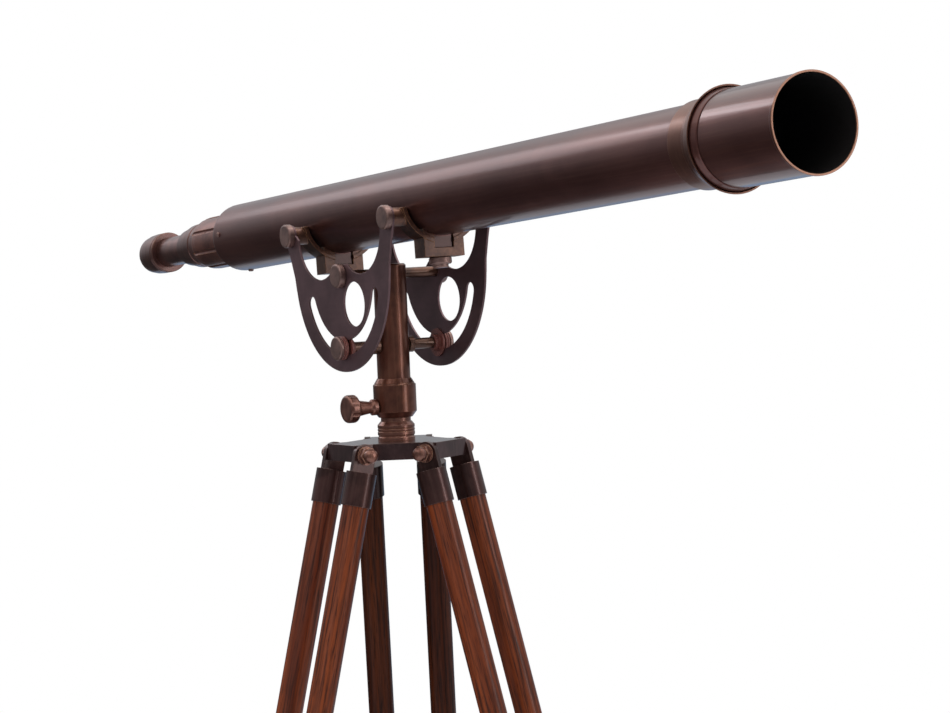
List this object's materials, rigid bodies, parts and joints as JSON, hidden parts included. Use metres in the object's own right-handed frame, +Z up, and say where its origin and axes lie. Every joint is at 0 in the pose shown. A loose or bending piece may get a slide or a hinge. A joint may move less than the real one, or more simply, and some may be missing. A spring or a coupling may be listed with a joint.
{
  "type": "floor standing telescope",
  "caption": "Long refracting telescope in bronzed metal, held in a cradle of two pierced side plates with an arc slot clamp, on a tripod of round wooden twin-rod legs.",
  "frame": {"origin": "Middle of the whole object's bounding box at floor level", "axes": "+X along the telescope towards the objective, +Y towards its left side, +Z up"},
  "size_m": [1.27, 0.544, 1.5193],
  "materials": {
    "bronze": "polished antique bronze, dark brown",
    "bronze_dark": "satin dark antique bronze",
    "plate_bronze": "satin mauve brown patina",
    "copper": "polished copper brown",
    "ferrule_bronze": "satin dark red brown bronze",
    "wood": "gloss reddish brown varnish",
    "fibre": "red brown vulcanised fibre",
    "lens_glass": "polished clear glass"
  },
  "bodies": {
    "head": {"head_plate": "bronze_dark", "spindle": "copper", "spindle_nut": "copper", "leg_a_hinge_bolt": "copper", "leg_b_hinge_bolt": "copper", "leg_c_hinge_bolt": "copper"},
    "column": {"pillar": "copper", "sleeve": "copper", "pivot_rod": "bronze_dark", "clamp_rod": "bronze_dark", "pivot_knob_near": "plate_bronze", "pivot_knob_far": "plate_bronze", "clamp_washers": "fibre"},
    "pan_screw": {"pan_thumbscrew": "copper"},
    "clamp_near": {"clamp_knob_near": "plate_bronze"},
    "clamp_far": {"clamp_knob_far": "plate_bronze"},
    "telescope": {"plate_near": "plate_bronze", "plate_far": "plate_bronze", "saddle_front": "bronze_dark", "saddle_rear": "bronze_dark", "horn_bolt_front_near": "plate_bronze", "horn_bolt_front_far": "plate_bronze", "horn_bolt_rear_near": "plate_bronze", "horn_bolt_rear_far": "plate_bronze", "main_tube": "bronze", "objective_cell": "bronze", "objective_lens": "lens_glass", "dew_hood": "bronze", "rear_bush": "bronze", "grip_ring": "copper"},
    "saddle_screw_front_body": {"saddle_screw_front": "plate_bronze"},
    "saddle_screw_rear_body": {"saddle_screw_rear": "plate_bronze"},
    "draw": {"draw_tube": "bronze", "eyecup": "bronze_dark", "eye_lens": "lens_glass"},
    "leg_a_upper": {"leg_a_ferrules": "ferrule_bronze", "leg_a_rod_left": "wood", "leg_a_rod_right": "wood", "leg_a_bracket": "ferrule_bronze"},
    "leg_a_lower": {"leg_a_guide": "ferrule_bronze", "leg_a_lower_rod": "wood", "leg_a_shoe": "ferrule_bronze"},
    "leg_a_clamp": {"leg_a_knob": "copper"},
    "leg_b_upper": {"leg_b_ferrules": "ferrule_bronze", "leg_b_rod_left": "wood", "leg_b_rod_right": "wood", "leg_b_bracket": "ferrule_bronze"},
    "leg_b_lower": {"leg_b_guide": "ferrule_bronze", "leg_b_lower_rod": "wood", "leg_b_shoe": "ferrule_bronze"},
    "leg_b_clamp": {"leg_b_knob": "copper"},
    "leg_c_upper": {"leg_c_ferrules": "ferrule_bronze", "leg_c_rod_left": "wood", "leg_c_rod_right": "wood", "leg_c_bracket": "ferrule_bronze"},
    "leg_c_lower": {"leg_c_guide": "ferrule_bronze", "leg_c_lower_rod": "wood", "leg_c_shoe": "ferrule_bronze"},
    "leg_c_clamp": {"leg_c_knob": "copper"}
  },
  "joints": [
    {"name": "leg_a_spread", "type": "hinge", "parent": "head", "child": "leg_a_upper", "pos_m": [-0.06918, 0.03571, 1.197], "axis": [-1, 0, 0], "range_deg": [-13.5, 8]},
    {"name": "leg_a_extend", "type": "slide", "parent": "leg_a_upper", "child": "leg_a_lower", "axis": [0, -0.2419, -0.9703], "range_m": [-0.44, 0.045]},
    {"name": "leg_a_clamp_turn", "type": "hinge", "parent": "leg_a_upper", "child": "leg_a_clamp", "pos_m": [-0.06918, -0.1516, 0.54495], "axis": [0, -0.9703, 0.2419], "range_deg": [-360, 360]},
    {"name": "leg_b_spread", "type": "hinge", "parent": "head", "child": "leg_b_upper", "pos_m": [-0.02414, 0.11371, 1.197], "axis": [0.5, -0.866, 0], "range_deg": [-13.5, 8]},
    {"name": "leg_b_extend", "type": "slide", "parent": "leg_b_upper", "child": "leg_b_lower", "axis": [0.2095, 0.121, -0.9703], "range_m": [-0.44, 0.045]},
    {"name": "leg_b_clamp_turn", "type": "hinge", "parent": "leg_b_upper", "child": "leg_b_clamp", "pos_m": [0.13807, 0.20737, 0.54495], "axis": [0.8403, 0.4851, 0.2419], "range_deg": [-360, 360]},
    {"name": "leg_c_spread", "type": "hinge", "parent": "head", "child": "leg_c_upper", "pos_m": [-0.11421, 0.11371, 1.197], "axis": [0.5, 0.866, 0], "range_deg": [-13.5, 8]},
    {"name": "leg_c_extend", "type": "slide", "parent": "leg_c_upper", "child": "leg_c_lower", "axis": [-0.2095, 0.121, -0.9703], "range_m": [-0.44, 0.045]},
    {"name": "leg_c_clamp_turn", "type": "hinge", "parent": "leg_c_upper", "child": "leg_c_clamp", "pos_m": [-0.27642, 0.20737, 0.54495], "axis": [-0.8403, 0.4851, 0.2419], "range_deg": [-360, 360]},
    {"name": "pan", "type": "hinge", "parent": "head", "child": "column", "pos_m": [-0.06918, 0.08771, 1.2296], "axis": [0, 0, 1], "continuous": true},
    {"name": "pan_clamp_turn", "type": "hinge", "parent": "column", "child": "pan_screw", "pos_m": [-0.06918, 0.06701, 1.2403], "axis": [0, -1, 0], "range_deg": [-360, 360]},
    {"name": "tilt", "type": "hinge", "parent": "column", "child": "telescope", "pos_m": [-0.06918, 0.08771, 1.368], "axis": [0, -1, 0], "range_deg": [-74.5, 66.7]},
    {"name": "clamp_near_turn", "type": "hinge", "parent": "column", "child": "clamp_near", "pos_m": [-0.06918, 0.02961, 1.299], "axis": [0, -1, 0], "range_deg": [-360, 360]},
    {"name": "clamp_far_turn", "type": "hinge", "parent": "column", "child": "clamp_far", "pos_m": [-0.06918, 0.14581, 1.299], "axis": [0, 1, 0], "range_deg": [-360, 360]},
    {"name": "saddle_screw_front_turn", "type": "hinge", "parent": "telescope", "child": "saddle_screw_front_body", "pos_m": [0.03255, 0.08771, 1.38285], "axis": [0.068, 0, -0.9977], "range_deg": [-360, 360]},
    {"name": "saddle_screw_rear_turn", "type": "hinge", "parent": "telescope", "child": "saddle_screw_rear_body", "pos_m": [-0.17198, 0.08771, 1.36891], "axis": [0.068, 0, -0.9977], "range_deg": [-360, 360]},
    {"name": "focus", "type": "slide", "parent": "telescope", "child": "draw", "axis": [-0.9977, 0, -0.068], "range_m": [-0.05, 0.045]}
  ]
}
